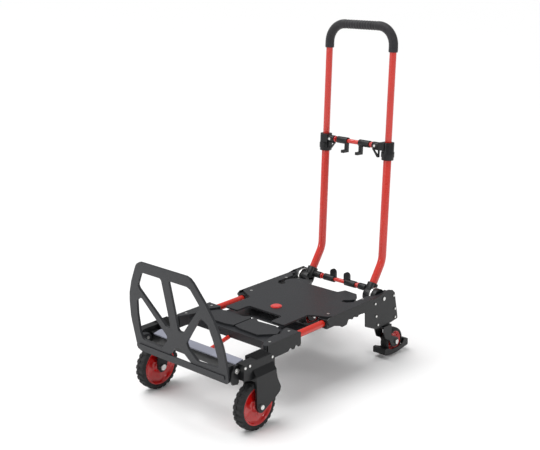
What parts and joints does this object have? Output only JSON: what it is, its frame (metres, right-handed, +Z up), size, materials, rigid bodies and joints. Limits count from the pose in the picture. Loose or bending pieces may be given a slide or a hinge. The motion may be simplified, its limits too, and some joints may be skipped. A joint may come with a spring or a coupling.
{
  "type": "convertible hand truck",
  "caption": "Folding hand truck that becomes a four-wheel platform cart: open-work toe plate, telescoping deck, folding telescopic handle, swivel casters with rocker brakes.",
  "frame": {"origin": "centre of the overall box, at floor level, in the platform-cart position", "axes": "+X to the truck's right, +Y from the toe plate towards the handle, +Z up"},
  "size_m": [0.403, 0.7542, 0.9069],
  "materials": {
    "red_paint": "glossy powder coat",
    "charcoal_plastic": "fine moulded texture",
    "black_plastic": "satin moulded",
    "black_metal": "satin powder coat",
    "cover_grey": "satin",
    "tyre_rubber": "matt",
    "hub_red": "gloss",
    "grip_foam": "soft foam",
    "zinc": "zinc plated",
    "button_red": "satin gloss"
  },
  "bodies": {
    "rear_frame": {"rear_deck_panel": "charcoal_plastic", "rear_side_plate_left": "black_plastic", "rear_side_plate_right": "black_plastic", "rail_guides": "black_plastic", "rear_cross_member": "black_metal", "hinge_cheeks": "black_plastic", "caster_brackets": "black_plastic", "rear_rivets": "zinc", "button_spring": "zinc"},
    "deck_button": {"deck_button": "button_red"},
    "front_frame": {"front_deck_panel": "charcoal_plastic", "front_side_wall_left": "black_plastic", "front_side_wall_right": "black_plastic", "front_bracket_left": "black_plastic", "front_bracket_right": "black_plastic", "slide_rail_left": "red_paint", "slide_rail_right": "red_paint", "front_cross_panel": "cover_grey", "front_cross_beam": "black_metal", "centre_rod": "red_paint", "front_rivets": "zinc", "wheel_fork_left": "black_plastic", "wheel_fork_right": "black_plastic", "front_axle_bolts": "zinc"},
    "toe_plate": {"toe_plate": "charcoal_plastic", "toe_hinge_pins": "zinc"},
    "hinge_hubs": {"hinge_hubs": "zinc", "hinge_pins": "zinc"},
    "handle_lower": {"handle_tube_left": "red_paint", "handle_tube_right": "red_paint", "handle_boot_left": "black_plastic", "handle_boot_right": "black_plastic", "handle_collar_left": "black_plastic", "handle_collar_right": "black_plastic", "mid_crossbar": "red_paint", "lower_crossbar": "red_paint", "crossbar_ends": "black_plastic", "crossbar_rings": "hub_red", "crossbar_screws": "zinc", "cord_loops": "black_plastic"},
    "handle_upper": {"handle_u_tube": "red_paint", "handle_grip": "grip_foam"},
    "front_wheel_left": {"front_tyre_left": "tyre_rubber", "front_hub_left": "hub_red"},
    "slide_release_left": {"slide_release_left": "black_plastic"},
    "fold_release_left": {"fold_release_left": "black_plastic"},
    "caster_fork_left": {"caster_fork_left": "black_plastic", "caster_axle_left": "zinc"},
    "caster_wheel_left": {"caster_tyre_left": "tyre_rubber", "caster_hub_left": "hub_red"},
    "brake_pedal_left": {"brake_pedal_left": "black_plastic"},
    "front_wheel_right": {"front_tyre_right": "tyre_rubber", "front_hub_right": "hub_red"},
    "slide_release_right": {"slide_release_right": "black_plastic"},
    "fold_release_right": {"fold_release_right": "black_plastic"},
    "caster_fork_right": {"caster_fork_right": "black_plastic", "caster_axle_right": "zinc"},
    "caster_wheel_right": {"caster_tyre_right": "tyre_rubber", "caster_hub_right": "hub_red"},
    "brake_pedal_right": {"brake_pedal_right": "black_plastic"}
  },
  "joints": [
    {"name": "deck_slide", "type": "slide", "parent": "rear_frame", "child": "front_frame", "axis": [0, 1, 0], "range_m": [0, 0.1]},
    {"name": "deck_button_press", "type": "slide", "parent": "rear_frame", "child": "deck_button", "axis": [0, 0, -1], "range_m": [0, 0.0025], "stiffness_N_per_m": 600},
    {"name": "toe_plate_fold", "type": "hinge", "parent": "front_frame", "child": "toe_plate", "pos_m": [0, -0.3116, 0.1635], "axis": [-1, 0, 0], "range_deg": [0, 88]},
    {"name": "handle_tip_back", "type": "hinge", "parent": "rear_frame", "child": "hinge_hubs", "pos_m": [0, 0.2674, 0.177], "axis": [1, 0, 0], "range_deg": [-87, 0]},
    {"name": "handle_fold_down", "type": "hinge", "parent": "hinge_hubs", "child": "handle_lower", "pos_m": [0, 0.2674, 0.177], "axis": [1, 0, 0], "range_deg": [0, 88]},
    {"name": "handle_slide", "type": "slide", "parent": "handle_lower", "child": "handle_upper", "axis": [0, -0.0576, -0.9983], "range_m": [0, 0.2]},
    {"name": "front_wheel_spin_left", "type": "hinge", "parent": "front_frame", "child": "front_wheel_left", "pos_m": [-0.174, -0.2596, 0.0625], "axis": [1, 0, 0], "continuous": true},
    {"name": "caster_swivel_left", "type": "hinge", "parent": "rear_frame", "child": "caster_fork_left", "pos_m": [-0.15, 0.2804, 0.099], "axis": [0, 0, 1], "continuous": true},
    {"name": "caster_wheel_spin_left", "type": "hinge", "parent": "caster_fork_left", "child": "caster_wheel_left", "pos_m": [-0.15, 0.3204, 0.0375], "axis": [1, 0, 0], "continuous": true},
    {"name": "brake_rock_left", "type": "hinge", "parent": "caster_fork_left", "child": "brake_pedal_left", "pos_m": [-0.15, 0.3204, 0.0375], "axis": [-1, 0, 0], "range_deg": [0, 7]},
    {"name": "slide_release_pull_left", "type": "slide", "parent": "handle_lower", "child": "slide_release_left", "axis": [1, 0, 0], "range_m": [0, 0.008], "stiffness_N_per_m": 500},
    {"name": "fold_release_pull_left", "type": "slide", "parent": "handle_lower", "child": "fold_release_left", "axis": [1, 0, 0], "range_m": [0, 0.008], "stiffness_N_per_m": 500},
    {"name": "front_wheel_spin_right", "type": "hinge", "parent": "front_frame", "child": "front_wheel_right", "pos_m": [0.174, -0.2596, 0.0625], "axis": [1, 0, 0], "continuous": true},
    {"name": "caster_swivel_right", "type": "hinge", "parent": "rear_frame", "child": "caster_fork_right", "pos_m": [0.15, 0.2804, 0.099], "axis": [0, 0, 1], "continuous": true},
    {"name": "caster_wheel_spin_right", "type": "hinge", "parent": "caster_fork_right", "child": "caster_wheel_right", "pos_m": [0.15, 0.3204, 0.0375], "axis": [1, 0, 0], "continuous": true},
    {"name": "brake_rock_right", "type": "hinge", "parent": "caster_fork_right", "child": "brake_pedal_right", "pos_m": [0.15, 0.3204, 0.0375], "axis": [-1, 0, 0], "range_deg": [0, 7]},
    {"name": "slide_release_pull_right", "type": "slide", "parent": "handle_lower", "child": "slide_release_right", "axis": [-1, 0, 0], "range_m": [0, 0.008], "stiffness_N_per_m": 500},
    {"name": "fold_release_pull_right", "type": "slide", "parent": "handle_lower", "child": "fold_release_right", "axis": [-1, 0, 0], "range_m": [0, 0.008], "stiffness_N_per_m": 500}
  ],
  "couplings": [
    {"joint": "toe_plate_fold", "follows": "handle_fold_down", "ratio": 1}
  ]
}
